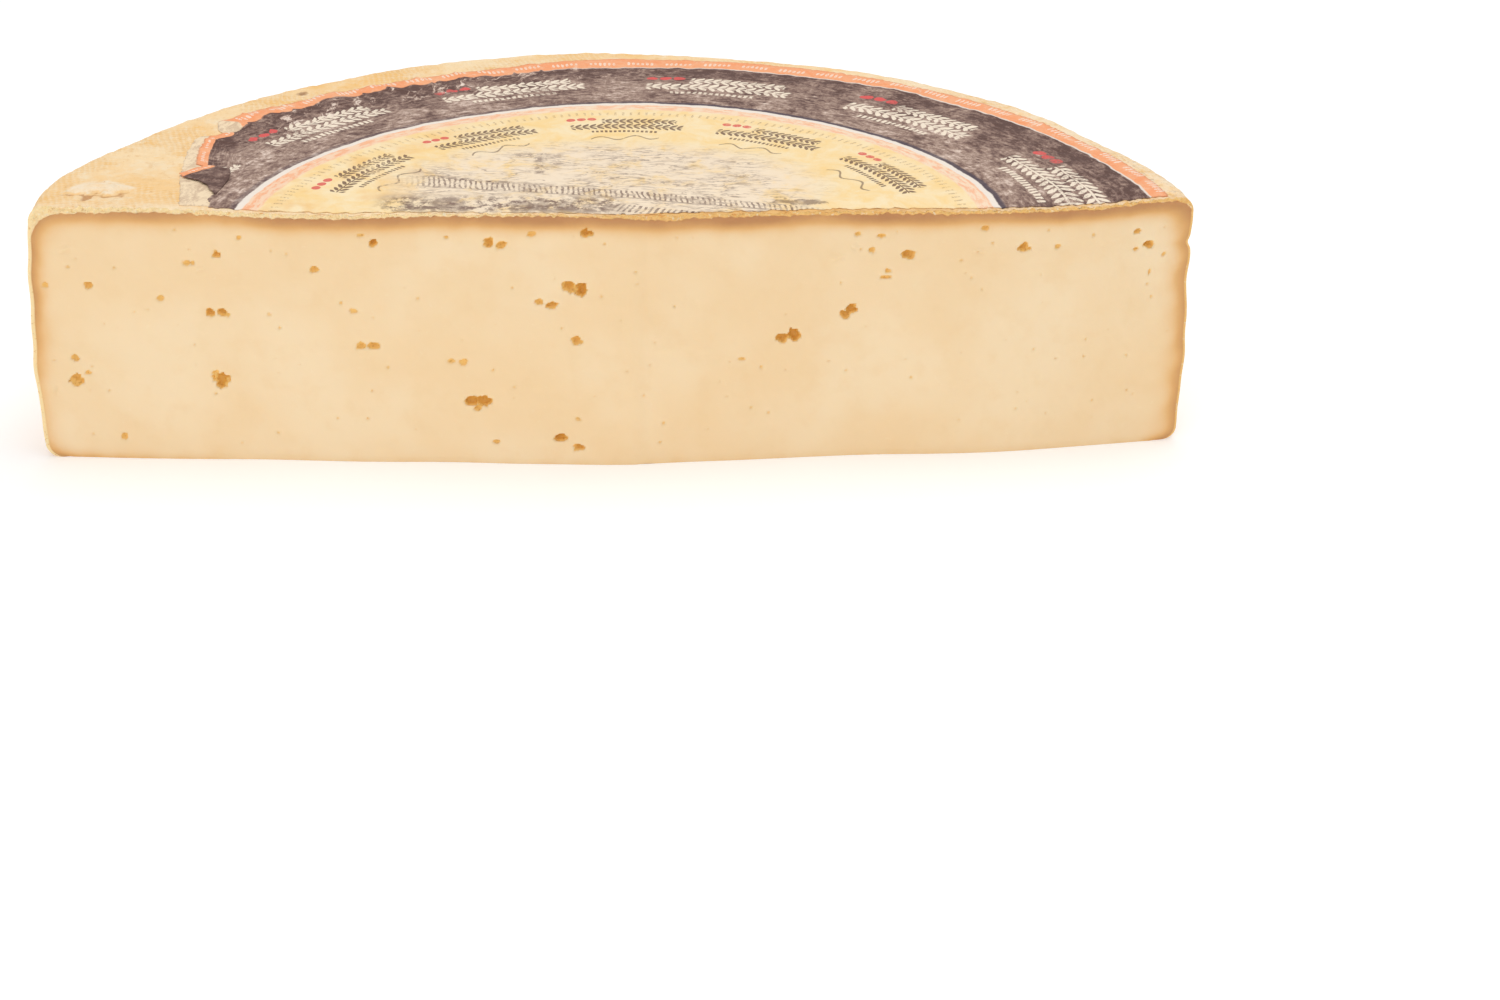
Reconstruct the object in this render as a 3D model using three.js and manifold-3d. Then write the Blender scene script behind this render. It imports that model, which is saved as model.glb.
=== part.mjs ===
// Half a wheel of washed-rind mountain cheese, lying on its flat base, with the torn half of a
// round paper label stuck to its top. Millimetres, +Z up, and the cut face looks towards -Y.

import * as THREE from "three";
import { mergeVertices } from "three/addons/utils/BufferGeometryUtils.js";
import Module from "manifold-3d";

const wasm = await Module();
wasm.setup();

// The whole wheel that the half was cut from.
const WHEEL_RADIUS = 186; // at the belly, the widest part of the side
const WHEEL_HEIGHT = 84;
const BELLY_HEIGHT = 22; // the soft side sags, so the belly is low
const SIDE_LEAN = 5; // how far the side draws in above the belly
const FOOT_LEAN = 0.6; // how far the side draws in below the belly
const SHOULDER_RADIUS = 5.5; // rounding between the side and the top
const FOOT_RADIUS = 4.5; // rounding between the side and the base

// The two strokes of the knife, which meet near the middle of the wheel.
const CUT_SETBACK = 9; // how far the first stroke passes behind the wheel's axis
const CUT_TURN = 8.4; // degrees by which the second stroke swings back
const CUT_RUN_IN = 12; // length on each side of the meeting line over which they blend

// The label's one sheet of paper, stuck to the flat top.
const LABEL_MARGIN = 3; // bare rind between the shoulder and the label
const LABEL_THICKNESS = 0.4;
const PLEAT_THICKNESS = 1.2; // three layers of folded paper with air between them

// The label's torn end, as per cent of the label's radius along X and Y from the wheel's axis.
const TORN_EDGE = [
  [-90, 62], [-81, 55], [-80, 49], [-82, 44], [-83, 35], [-82, 23], [-79, 12], [-76, 0],
];

// The pleat beside the torn end, given in the same way.
const PLEAT_OUTLINE = [
  [-79, 44], [-81, 40], [-79, 30], [-76, 27], [-80, 21], [-76, 18], [-74, 13], [-72, 25], [-76, 35],
];

// The eyes in the cut face. Each row is a place, as per cent of the way from the meeting line to
// the rim and per cent of the height, then the eye's width and height in millimetres.
const EYES = [
  [-96, 70, 3, 3], [-93, 41, 3, 3], [-93, 32, 5, 4], [-89, 70, 3, 3], [-86, 9, 3, 3],
  [-77, 65, 3, 2], [-72, 79, 4, 3], [-69, 60, 5, 4], [-67, 60, 4, 3], [-68, 33, 6, 5],
  [-67, 83, 3, 3], [-51, 78, 3, 3], [-45, 62, 3, 2.5], [-43, 48, 7, 3], [-43, 92, 3, 2],
  [-41, 89, 3, 3], [-28, 42, 6, 3], [-25, 26, 8, 5], [-22, 9, 3, 2], [-21, 89, 5.5, 4],
  [-15, 92, 3, 2], [-14, 66, 4, 3], [-12, 64, 4, 3], [-11, 11, 5, 3], [-8, 72, 7, 5],
  [-8, 51, 4, 3.5], [-8, 7, 3.5, 3], [-6, 93, 4, 3], [20, 42, 2.5, 2], [27, 50, 4, 4],
  [29, 51, 4.5, 4], [39, 59, 6, 4.5], [40, 90, 3, 2], [43, 84, 2.5, 2], [45, 73, 4, 2],
  [49, 82, 4.5, 3.5], [62, 91, 3, 2], [69, 82, 4, 3.5], [90, 87, 3, 2], [92, 82, 4, 3],
];

const EYE_DEPTH = 0.45; // depth of an eye as a share of its mean width
const SIDES_ROUND = 120; // flats round the whole wheel
const SIDES_CURVE = 4; // flats on each rounding in the wheel's section

const turn = THREE.MathUtils.degToRad(CUT_TURN);
const meeting = new THREE.Vector2(0, CUT_SETBACK);
const topRadius = WHEEL_RADIUS - SIDE_LEAN;
const flatRadius = topRadius - SHOULDER_RADIUS;
const labelRadius = flatRadius - LABEL_MARGIN;

// A closed geometry as a solid that can be cut and joined.
function solidOf(geometry) {
  const plain = geometry.clone();
  plain.deleteAttribute("normal");
  plain.deleteAttribute("uv");
  const merged = mergeVertices(plain, 1e-4);
  return new wasm.Manifold(
    new wasm.Mesh({
      numProp: 3,
      vertProperties: merged.attributes.position.array,
      triVerts: new Uint32Array(merged.index.array),
    }),
  );
}

// A solid as a named mesh with its own material.
function meshOf(name, solid, look) {
  const { vertProperties, triVerts } = solid.getMesh();
  const geometry = new THREE.BufferGeometry();
  geometry.setAttribute("position", new THREE.BufferAttribute(vertProperties, 3));
  geometry.setIndex(new THREE.BufferAttribute(triVerts, 1));
  geometry.computeVertexNormals();
  const mesh = new THREE.Mesh(geometry, new THREE.MeshStandardMaterial(look));
  mesh.name = name;
  return mesh;
}

// A flat outline in X and Y, raised from z = low by the given height.
function prism(shape, low, height) {
  const geometry = new THREE.ExtrudeGeometry(shape, {
    depth: height,
    bevelEnabled: false,
    curveSegments: SIDES_CURVE,
  });
  return solidOf(geometry.translate(0, 0, low));
}

// Half of the wheel's section: flat base, rounded foot, belly, rounded shoulder and flat top.
function wheelSection() {
  const footCentre = WHEEL_RADIUS - FOOT_LEAN - FOOT_RADIUS;
  const shoulderHeight = WHEEL_HEIGHT - SHOULDER_RADIUS;
  const section = new THREE.Path();
  section.moveTo(0, 0);
  section.lineTo(footCentre, 0);
  section.absarc(footCentre, FOOT_RADIUS, FOOT_RADIUS, -Math.PI / 2, 0, false);
  section.splineThru([
    new THREE.Vector2(WHEEL_RADIUS, BELLY_HEIGHT),
    new THREE.Vector2(topRadius, shoulderHeight),
  ]);
  section.absarc(flatRadius, shoulderHeight, SHOULDER_RADIUS, 0, Math.PI / 2, false);
  section.lineTo(0, WHEEL_HEIGHT);
  return section.getPoints(SIDES_CURVE);
}

// Everything behind the knife's two strokes, far wider and taller than the wheel.
function behindTheCut() {
  const far = 2 * WHEEL_RADIUS;
  const slope = Math.tan(turn);
  const shape = new THREE.Shape();
  shape.moveTo(-far, CUT_SETBACK);
  shape.lineTo(-CUT_RUN_IN, CUT_SETBACK);
  shape.quadraticCurveTo(
    meeting.x,
    meeting.y,
    CUT_RUN_IN,
    CUT_SETBACK + CUT_RUN_IN * slope,
  );
  shape.lineTo(far, CUT_SETBACK + far * slope);
  shape.lineTo(far, 2 * far);
  shape.lineTo(-far, 2 * far);
  return prism(shape, -WHEEL_HEIGHT, 3 * WHEEL_HEIGHT);
}

// How far a stroke runs from the meeting line to the rim, swung back by the given angle.
function strokeLength(angle) {
  const along = CUT_SETBACK * Math.sin(angle);
  const across = CUT_SETBACK * Math.cos(angle);
  return Math.sqrt(topRadius ** 2 - across ** 2) - along;
}

// A point on the cut face, and the way that its stroke runs.
function placeOnCut(along, up) {
  const angle = along < 0 ? 0 : turn;
  const run = strokeLength(along < 0 ? 0 : angle) * (along / 100);
  return {
    angle,
    x: meeting.x + run * Math.cos(angle),
    y: meeting.y + run * Math.sin(angle),
    z: (WHEEL_HEIGHT * up) / 100,
  };
}

// One round eye: a squashed ball, half of it behind the cut face.
function eye([along, up, width, height]) {
  const place = placeOnCut(along, up);
  const depth = EYE_DEPTH * (width + height) / 2;
  const ball = new THREE.SphereGeometry(1, 8, 6);
  ball.scale(width / 2, depth, height / 2);
  ball.rotateZ(place.angle);
  ball.translate(place.x, place.y, place.z);
  return solidOf(ball);
}

// The cheese: the turned wheel, cut in two, with its eyes opened by the knife.
function cheeseSolid(kept) {
  const turned = new THREE.LatheGeometry(wheelSection(), SIDES_ROUND);
  const half = solidOf(turned.rotateX(Math.PI / 2)).intersect(kept);
  return EYES.reduce((body, row) => body.subtract(eye(row)), half);
}

// An outline on the label from places given as per cent of the label's radius.
function outlineOnLabel(places) {
  return places.map(([x, y]) => new THREE.Vector2(x, y).multiplyScalar(labelRadius / 100));
}

// The label: a round sheet cut with the wheel, torn away at one end, with a pleat beside the tear.
function labelSolid(kept) {
  const disc = new THREE.CylinderGeometry(labelRadius, labelRadius, LABEL_THICKNESS, SIDES_ROUND);
  disc.rotateX(Math.PI / 2).translate(0, 0, WHEEL_HEIGHT + LABEL_THICKNESS / 2);
  const tornOff = outlineOnLabel([...TORN_EDGE, [-120, 0], [-120, 62]]);
  const sheet = solidOf(disc)
    .intersect(kept)
    .subtract(prism(new THREE.Shape(tornOff), 0, 2 * WHEEL_HEIGHT));
  const pleat = prism(
    new THREE.Shape(outlineOnLabel(PLEAT_OUTLINE)),
    WHEEL_HEIGHT,
    PLEAT_THICKNESS,
  );
  return sheet.add(pleat);
}

const kept = behindTheCut();
const cheese = meshOf("cheese", cheeseSolid(kept), {
  color: 0xf4d6ab,
  roughness: 0.55,
  metalness: 0,
});
const paperLabel = meshOf("paper_label", labelSolid(kept), {
  color: 0x9c8679,
  roughness: 0.7,
  metalness: 0,
});

// The half wheel stands with the middle of its base box at the origin.
const halfWheel = new THREE.Group();
halfWheel.add(cheese, paperLabel);
const middle = new THREE.Box3().setFromObject(cheese).getCenter(new THREE.Vector3());
halfWheel.position.set(-middle.x, -middle.y, 0);

export default halfWheel;
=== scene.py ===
"""Half a wheel of washed-rind mountain cheese with the torn half of its round paper label."""

import math

import bmesh
import bpy
import numpy as np
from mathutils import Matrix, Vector
from mathutils.bvhtree import BVHTree


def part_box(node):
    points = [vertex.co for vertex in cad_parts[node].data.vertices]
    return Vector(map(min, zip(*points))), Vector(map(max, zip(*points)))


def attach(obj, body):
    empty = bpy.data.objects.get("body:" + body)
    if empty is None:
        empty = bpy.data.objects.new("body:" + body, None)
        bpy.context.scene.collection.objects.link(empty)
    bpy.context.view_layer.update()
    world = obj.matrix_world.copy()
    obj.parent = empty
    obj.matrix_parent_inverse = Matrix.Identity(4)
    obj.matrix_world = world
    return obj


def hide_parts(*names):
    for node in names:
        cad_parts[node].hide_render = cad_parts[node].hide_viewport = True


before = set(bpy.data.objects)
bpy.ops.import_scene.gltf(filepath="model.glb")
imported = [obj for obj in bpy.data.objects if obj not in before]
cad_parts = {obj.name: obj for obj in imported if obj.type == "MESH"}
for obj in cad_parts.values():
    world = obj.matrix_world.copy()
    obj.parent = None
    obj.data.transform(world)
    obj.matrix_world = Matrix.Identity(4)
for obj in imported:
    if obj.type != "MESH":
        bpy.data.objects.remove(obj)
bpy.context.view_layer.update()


# THE CHEESE
# One piece that ripened as a whole: a pale elastic paste with small eyes, inside its own washed
# rind. A knife cut it in two strokes that meet near the middle, tearing a crumbly lip off the rind.

MM = 0.001  # every size below is in millimetres, and each mesh is scaled by this

CUT_SETBACK = 9  # how far the first stroke passes behind the wheel's axis
CUT_TURN = 8.4  # degrees by which the second stroke swings back
CUT_RUN_IN = 12  # length on each side of the meeting line over which the strokes blend
cheese_low, cheese_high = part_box("cheese")
WHEEL_HEIGHT = (cheese_high[2] - cheese_low[2]) / MM
WHEEL_RADIUS = (cheese_high[1] - cheese_low[1]) / MM + CUT_SETBACK
BELLY_HEIGHT = 22
SIDE_LEAN = 5
FOOT_LEAN = 0.6
SHOULDER_RADIUS = 5.5
FOOT_RADIUS = 4.5
FLAT_RADIUS = WHEEL_RADIUS - SIDE_LEAN - SHOULDER_RADIUS

GRAIN = 0.5  # distance between points on the cut face
RAY_STEP = 0.38  # degrees between points round the rind

# The wheel's axis, from the box of the half: its left end lies on the first stroke.
axis_x = cheese_low[0] / MM + math.sqrt(WHEEL_RADIUS**2 - CUT_SETBACK**2)
axis_y = cheese_high[1] / MM - WHEEL_RADIUS
AXIS = (axis_x * MM, axis_y * MM, 0)


def smooth(share):
    """Eases from 0 to 1 as share goes from 0 to 1."""
    held = np.clip(share, 0, 1)
    return held * held * (3 - 2 * held)


def hump(off, width):
    """1 at no distance, falling away smoothly over about the width on both sides."""
    return np.exp(-((off / width) ** 2))


def ripple(places, size, seed, waves=28):
    """Seeded smooth noise, mostly between -1 and 1, in features about as wide as size."""
    draw = np.random.default_rng(seed)
    ways = draw.normal(size=(waves, places.shape[-1]))
    lengths = size * draw.uniform(0.7, 1.6, (waves, 1))
    ways *= 2 * math.pi / lengths / np.linalg.norm(ways, axis=1, keepdims=True)
    total = np.zeros(places.shape[:-1])
    for way, shift in zip(ways, draw.uniform(0, 2 * math.pi, waves)):
        total += np.sin(places @ way + shift)
    return total / math.sqrt(2 * waves)


# The knife's path in plan, by its length from the meeting line: negative to the left.
STEPS_PER_MM = 10
PATH_REACH = 210  # further than the rim, to both sides
path_run = np.arange(-PATH_REACH * STEPS_PER_MM, PATH_REACH * STEPS_PER_MM + 1) / STEPS_PER_MM
path_turn = math.radians(CUT_TURN) * smooth((path_run + CUT_RUN_IN) / (2 * CUT_RUN_IN))
path_x = np.cumsum(np.cos(path_turn)) / STEPS_PER_MM
path_y = np.cumsum(np.sin(path_turn)) / STEPS_PER_MM
path_x -= np.interp(0, path_run, path_x)
path_y += CUT_SETBACK - path_y[0]
path_radius = np.hypot(path_x, path_y)


def lifted(plan, height):
    """Points at their heights over a plan."""
    return np.concatenate([plan, height[..., None]], -1)


def headings(angle):
    """Steps of one millimetre in plan in each direction."""
    return np.stack([np.cos(angle), np.sin(angle)], -1)


def on_path(run):
    """Plan points on the knife's path, and how far the path has turned there."""
    plan = np.stack([np.interp(run, path_run, path_x), np.interp(run, path_run, path_y)], -1)
    return plan, np.interp(run, path_run, path_turn)


meeting = on_path(np.zeros(1))[0][0]


BOW = (124, 42, 3.2)  # where the second stroke strayed most, over what width, and how far


def bow(run):
    """How far the second stroke strayed out in front of its straight path."""
    middle, width, depth = BOW
    return depth * hump(run - middle, width)


# How far the knife dragged the top edge down, as (place across, millimetres).
DROOP = [
    (-150, 0), (-115, 0.6), (-85, 0.8), (-62, 0), (-30, -0.2), (0, 0), (60, 0.3), (85, 0.9),
    (105, 1.5), (145, 1.5), (168, 0.3), (180, 0),
]
DROOP_REACH = 9  # how far behind the cut the droop fades out


def wheel_section():
    """The side of the wheel from the base to the top: foot, belly and shoulder."""
    foot = np.radians(np.arange(-90, 0, 6))
    foot_r = WHEEL_RADIUS - FOOT_LEAN - FOOT_RADIUS + FOOT_RADIUS * np.cos(foot)
    foot_z = FOOT_RADIUS + FOOT_RADIUS * np.sin(foot)
    side_z = np.arange(FOOT_RADIUS, WHEEL_HEIGHT - SHOULDER_RADIUS, GRAIN)
    below = (BELLY_HEIGHT - side_z) / (BELLY_HEIGHT - FOOT_RADIUS)
    above = (side_z - BELLY_HEIGHT) / (WHEEL_HEIGHT - SHOULDER_RADIUS - BELLY_HEIGHT)
    drawn_in = np.where(above > 0, SIDE_LEAN * above**2, FOOT_LEAN * below**2)
    shoulder = np.radians(np.append(np.arange(0, 90, 5), 90))
    shoulder_r = FLAT_RADIUS + SHOULDER_RADIUS * np.cos(shoulder)
    shoulder_z = WHEEL_HEIGHT - SHOULDER_RADIUS + SHOULDER_RADIUS * np.sin(shoulder)
    radii = np.concatenate([foot_r, WHEEL_RADIUS - drawn_in, shoulder_r])
    return radii, np.concatenate([foot_z, side_z, shoulder_z])


section_r, section_z = wheel_section()


def to_rim(angle, radius):
    """How far a ray from the meeting line runs to the circle of that radius."""
    toward = meeting[0] * np.cos(angle) + meeting[1] * np.sin(angle)
    return np.sqrt(radius**2 - meeting @ meeting + toward**2) - toward


# How far the rim stands outside a true circle, as (degrees round from the right, millimetres).
OUT_OF_ROUND = [
    (0, -0.6), (11, -0.3), (15, 0.9), (20, -0.4), (31, -3.2), (38, -1), (46, 0.7), (56, 0.9),
    (66, 0), (76, -0.8), (86, -0.4), (94, 1.8), (99, 2.7), (104, 2.4), (112, 1.6), (122, -0.6),
    (132, 0.4), (144, -1.5), (156, -0.2), (164, 2.5), (170, 4.2), (174, 2.2), (178, -1),
]
rim_degrees = np.arange(-30, 211)
rim_out = np.interp(rim_degrees, *zip(*OUT_OF_ROUND))
rim_out = np.convolve(rim_out, np.hanning(11) / np.hanning(11).sum(), "same")


def sag(points):
    """Moves points of the true wheel to where the ripened, handled one has them."""
    moved = points.copy()
    angle = np.degrees(np.arctan2(points[..., 1], points[..., 0]))
    radius = np.hypot(points[..., 0], points[..., 1])
    near_rim = smooth((radius / WHEEL_RADIUS - 0.6) / 0.4)
    share_up = points[..., 2] / WHEEL_HEIGHT
    swell = np.interp(angle, rim_degrees, rim_out)
    swell -= 3.2 * smooth((38 - angle) / 26) * smooth((1 - share_up) / 0.36)
    swell -= 0.9 * smooth((20 - angle) / 10) * hump(share_up - 0.82, 0.018)
    low_left = smooth((angle - 150) / 14) * (1 - smooth((share_up - 0.5) / 0.48))
    swell += low_left * (-1.3 - swell)
    swell *= near_rim
    lumps = 0.35 * ripple(points, 14, 4) * near_rim
    moved[..., :2] *= (1 + (swell + lumps) / WHEEL_RADIUS)[..., None]
    high_up = share_up**2
    moved[..., 2] += high_up * top_relief(points[..., :2])
    near_cut = np.exp(-distance_from_cut(points[..., :2]) / DROOP_REACH)
    moved[..., 2] -= high_up * np.interp(points[..., 0], *zip(*DROOP)) * near_cut
    return moved


def top_relief(plan):
    """How far the top stands above or below its plane: shallow waves from the press cloth."""
    return 0.45 * ripple(plan, 70, 5) + 0.12 * ripple(plan, 18, 6) + 0.35


# The eyes. Each row is a place, as per cent of the way from the meeting line to the rim and per
# cent of the height, then the eye's width, height and depth in millimetres.
EYES = [
    (-96, 70, 2.4, 2.4, 1), (-93, 41, 3, 2.4, 1.3), (-93, 32, 4.6, 3.6, 2), (-91, 35, 2.4, 1.7, 1),
    (-89, 70, 3, 2.6, 1.5), (-86, 9, 2.3, 2.5, 1.4), (-77, 65, 2.7, 2, 1), (-72, 79, 3, 2, 1),
    (-71, 79, 2, 1.6, 1), (-69, 60, 2.6, 2.8, 2), (-67, 60, 2.8, 2.6, 2), (-66, 59, 1.6, 1.6, 1),
    (-68, 33, 5, 4.6, 2.6), (-69, 36, 2.6, 1.6, 1.2), (-67, 83, 2.4, 2.4, 2), (-63, 90, 1.6, 1.6, 1),
    (-59, 60, 1.8, 1.5, .5), (-51, 78, 2.6, 2.4, 1.6), (-47, 65, 1.4, 1.4, .7), (-45, 62, 2.7, 2.1, .8),
    (-44, 48, 4, 2.3, 1.4), (-42, 48, 4.6, 2.4, 1.6), (-43, 92, 2.6, 1.4, .8), (-41, 89, 2.6, 2.5, 2.4),
    (-29, 91, 1.4, 1.4, .8), (-29, 42, 3, 2, .8), (-27, 42, 3.6, 2.2, 1), (-26, 26, 4.4, 3.8, 2.6),
    (-24, 26, 4.6, 4, 2.8), (-25, 23, 3, 2, 1.4), (-22, 9, 2.8, 1.6, 1), (-22, 89, 3.4, 3, 2),
    (-20, 88, 3, 2.6, 1.6), (-15, 92, 2.8, 2, 1.2), (-14, 66, 3, 2.2, 1.4), (-12, 65, 3.6, 2.6, 1.8),
    (-11, 11, 4.4, 2.6, 2.6), (-9, 72, 4.4, 3.6, 2.4), (-7, 71, 3.8, 4, 3), (-8, 51, 3.4, 3, 1.8),
    (-8, 7, 3.2, 2.8, 2), (-8, 19, 1.7, 1.7, .7), (-6, 93, 3.8, 2.4, 2.4), (-3, 89, 1.3, 1.3, .5),
    (6, 9, 1.8, 1.1, .6), (9, 91, 1.2, 1.2, .4), (20, 42, 2.4, 1.1, .8), (27, 50, 3.8, 3.4, 2.4),
    (29, 51, 4, 4, 3), (37.6, 58.5, 3, 3, 2), (38.6, 60.5, 4, 3.4, 2.6), (39.4, 91, 2.6, 1.6, 1),
    (41.8, 84.5, 2.2, 2, 1.2), (43.3, 90, 3, 1.6, 1.2), (44.2, 73.5, 4, 1.3, 1), (44.6, 76, 2.1, 1.6, 1.2),
    (48, 82.5, 3.8, 3, 2.2), (57, 80, 1.2, 1.2, .5), (60.8, 93, 2.6, 1.9, 1.4), (67.7, 84.5, 3.4, 3.2, 2),
    (73.6, 84.5, 2.1, 1.6, 1), (87.8, 88, 2.8, 1.8, 1.4), (90.8, 82.5, 3.4, 2.8, 2), (88.4, 81, 2.5, 1.3, 1),
    (93.6, 78, 1.5, 1.4, .8), (91.6, 71, 1.4, 2, 1), (91.6, 66, 1.2, 1.3, .6), (92.6, 61, 1.2, 1.3, .6),
]
PINHOLES = 110  # more holes, each about a millimetre wide


def eyes_of(left, right):
    """Every eye as (place along, place up, half width, half height, depth), in millimetres."""
    draw = np.random.default_rng(11)
    rows = []
    for along, up, width, height, depth in EYES:
        run = along / 100 * (left if along < 0 else right)
        rows.append((run, up / 100 * WHEEL_HEIGHT, width / 2, height / 2, depth))
    for _ in range(PINHOLES):
        half = draw.uniform(0.32, 0.62)
        run = draw.uniform(-0.97 * left, 0.97 * right)
        rows.append((run, draw.uniform(5, 79), half, half * draw.uniform(0.8, 1.2), half))
    return rows


def eye_depth(run, height, eyes):
    """How far behind the cut face each point lies because of the eyes."""
    flat = np.stack([run, height], -1)
    wobble = 0.24 * ripple(flat, 2.8, 12) + 0.16 * ripple(flat, 1.4, 13)
    deepest = np.zeros_like(run)
    for along, up, half_width, half_height, depth in eyes:
        near = (abs(run - along) < 2 * half_width + 1) & (abs(height - up) < 2 * half_height + 1)
        off = np.hypot((run[near] - along) / half_width, (height[near] - up) / half_height)
        off += wobble[near]
        bowl = 0.8 * depth * np.sqrt(np.clip(1 - off * off, 0, 1))
        deepest[near] = np.maximum(deepest[near], bowl)
    return deepest


def rind_line(run, to_left, to_right, to_top):
    """How far inside the line between rind and paste each point of the cut lies."""
    flat = np.stack([run, to_top], -1)
    lip = np.interp(run, [-185, -150, -90, -55, -12, 20, 185], [2.4, 1.5, 1.4, 0.9, 0.85, 1.2, 1])
    lip += hump(run - 12, 9)
    uneven = 0.22 * ripple(run[..., None], 8, 27) + 0.13 * ripple(run[..., None], 2.2, 28)
    top_in = to_top - lip - uneven
    side_in = np.minimum(to_left - 1.1, to_right - 0.7)
    corner = np.where(to_left < to_right, 8.5, 4)
    side_gap = np.clip(corner - side_in, 0, None)
    top_gap = np.clip(corner - top_in, 0, None)
    rounded = corner - np.hypot(side_gap, top_gap)
    inside = np.where((side_in < corner) & (top_in < corner), rounded, np.minimum(side_in, top_in))
    crumbled = smooth((9 - to_top) / 6)
    return inside + 0.18 * crumbled * ripple(flat, 1.8, 29), to_top - lip


def ripening(run, height, top_in, to_left, to_right):
    """How brown the paste has ripened near each part of the rind, from 0 to 1."""
    flat = np.stack([run, height], -1)
    uneven = 1 + 0.18 * ripple(run[..., None], 45, 33)
    under_top = np.interp(run, [-170, -60, 60, 180], [0.66, 0.92, 0.92, 0.84]) * uneven
    under_top *= np.exp(-((np.maximum(top_in, 0) / 4.7) ** 1.5))
    at_left = np.interp(height / WHEEL_HEIGHT, [0, 0.3, 0.55, 0.9], [0.35, 0.4, 0.66, 0.7])
    at_left *= np.exp(-(np.maximum(to_left - 1.1, 0) / 5) ** 1.2)
    at_right = 0.66 * np.exp(-(np.maximum(to_right - 0.7, 0) / 6) ** 1.2)
    at_base = np.interp(run, [-180, -120, 180], [0.55, 0.3, 0.3]) * np.exp(-height / 2.6)
    ripe = 1 - (1 - under_top) * (1 - at_left) * (1 - at_right) * (1 - at_base)
    return np.clip(ripe + 0.03 * ripple(flat, 9, 34) * (ripe > 0.05), 0, 1)


# Shallow marks of the knife, as (per cent along, per cent up, length, tilt in degrees).
NICKS = [
    (-92, 84, 5, 24), (-97, 28, 4, 70), (36, 82, 6, 24), (39, 86, 3, -30), (60, 84, 5, -6),
    (-70, 77, 3, 10),
]


def cut_relief(run, height, inside, left, right):
    """How far the cut face stands out in front of the knife's path, away from the eyes."""
    flat = np.stack([run, height], -1)
    drag = np.stack([run / 9, height], -1)
    relief = 0.3 * ripple(flat, 46, 21) + 0.05 * ripple(drag, 5, 22) + 0.03 * ripple(flat, 4, 23)
    relief += bow(run)
    upright = np.stack([run / 1.2, height / 40], -1)
    relief += 0.12 * ripple(upright, 6, 24) * hump(run - 4, 12)
    for along, up, length, tilt in NICKS:
        turn = math.radians(tilt)
        off_run = run - along / 100 * (left if along < 0 else right)
        off_up = height - up / 100 * WHEEL_HEIGHT
        ahead = off_run * math.cos(turn) + off_up * math.sin(turn)
        beside = off_up * math.cos(turn) - off_run * math.sin(turn)
        burr = 0.32 * hump(beside, 0.45) - 0.28 * hump(beside + 0.8, 0.5)
        relief += burr * smooth(1.5 - 3 * abs(ahead) / length)
    crumbs = 0.45 + 0.6 * ripple(flat, 1.6, 25) + 0.5 * ripple(flat, 4.5, 26)
    in_rind = smooth(0.6 - inside / 1.2) * np.interp(height, [60, 76], [0.15, 1])
    relief += 0.7 * np.clip(crumbs, -0.4, 1.4) * in_rind
    relief -= 0.25 * hump(inside - 1.6, 1.2)
    return relief


def cut_face():
    """The cut face as rows of points from the base to the top, each from rim to rim."""
    left = np.interp(section_r, path_radius[path_run <= 0][::-1], -path_run[path_run <= 0][::-1])
    right = np.interp(section_r, path_radius[path_run >= 0], path_run[path_run >= 0])
    left_steps, right_steps = int(left.max() / GRAIN), int(right.max() / GRAIN)
    shares = np.append(np.linspace(-1, 0, left_steps + 1)[:-1], np.linspace(0, 1, right_steps + 1))
    run = np.where(shares < 0, shares * left[:, None], shares * right[:, None])
    height = np.repeat(section_z[:, None], run.shape[1], 1)
    plan, turned = on_path(run)
    to_top = WHEEL_HEIGHT - height
    to_left = run + np.interp(height, section_z, left)
    to_right = np.interp(height, section_z, right) - run
    inside, top_in = rind_line(run, to_left, to_right, to_top)
    pit = eye_depth(run, height, eyes_of(left.max(), right.max()))
    out = cut_relief(run, height, inside, left.max(), right.max()) - pit
    out *= smooth(np.minimum(to_left, to_right) / 3 + 0.15)
    ragged = 0.35 * ripple(run[..., None], 3, 31) + 0.25 * ripple(run[..., None], 11, 32)
    points = lifted(plan, height)
    points[..., 0] += out * np.sin(turned)
    points[..., 1] -= out * np.cos(turned)
    points[..., 2] += ragged * np.exp(-to_top / 1.2)
    facts = {
        "ripe": ripening(run, height, top_in, to_left, to_right),
        "pit": np.clip(pit / 1.6, 0, 1),
        "crust": smooth(0.5 - inside / 0.9),
    }
    return points, left_steps, facts


def ray_angles():
    """The directions of the rays round the rind, closer together beside the cut."""
    start, stop = math.radians(CUT_TURN), math.pi
    beside = np.radians([0.12, 0.26, 0.44, 0.66, 0.92, 1.22])
    steps = int(math.degrees(stop - start - 2 * beside[-1]) / RAY_STEP)
    middle = np.linspace(start + beside[-1], stop - beside[-1], steps)
    return np.concatenate([start + beside[:-1], middle, stop - beside[-2::-1]])


def zip_up(first, second, first_at, second_at):
    """Triangles between two rows of points that start together and run side by side."""
    faces, i, j = [], 0, 0
    while i < len(first) - 1 or j < len(second) - 1:
        second_done = j == len(second) - 1
        if i < len(first) - 1 and (second_done or first_at[i + 1] <= second_at[j + 1]):
            faces.append((first[i], first[i + 1], second[j]))
            i += 1
        else:
            faces.append((first[i], second[j + 1], second[j]))
            j += 1
    return [face for face in faces if len(set(face)) == 3]


def fan(middle, rim):
    """Triangles from one point to each pair of neighbours in a row."""
    return [(middle, a, b) for a, b in zip(rim[:-1], rim[1:])]


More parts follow.
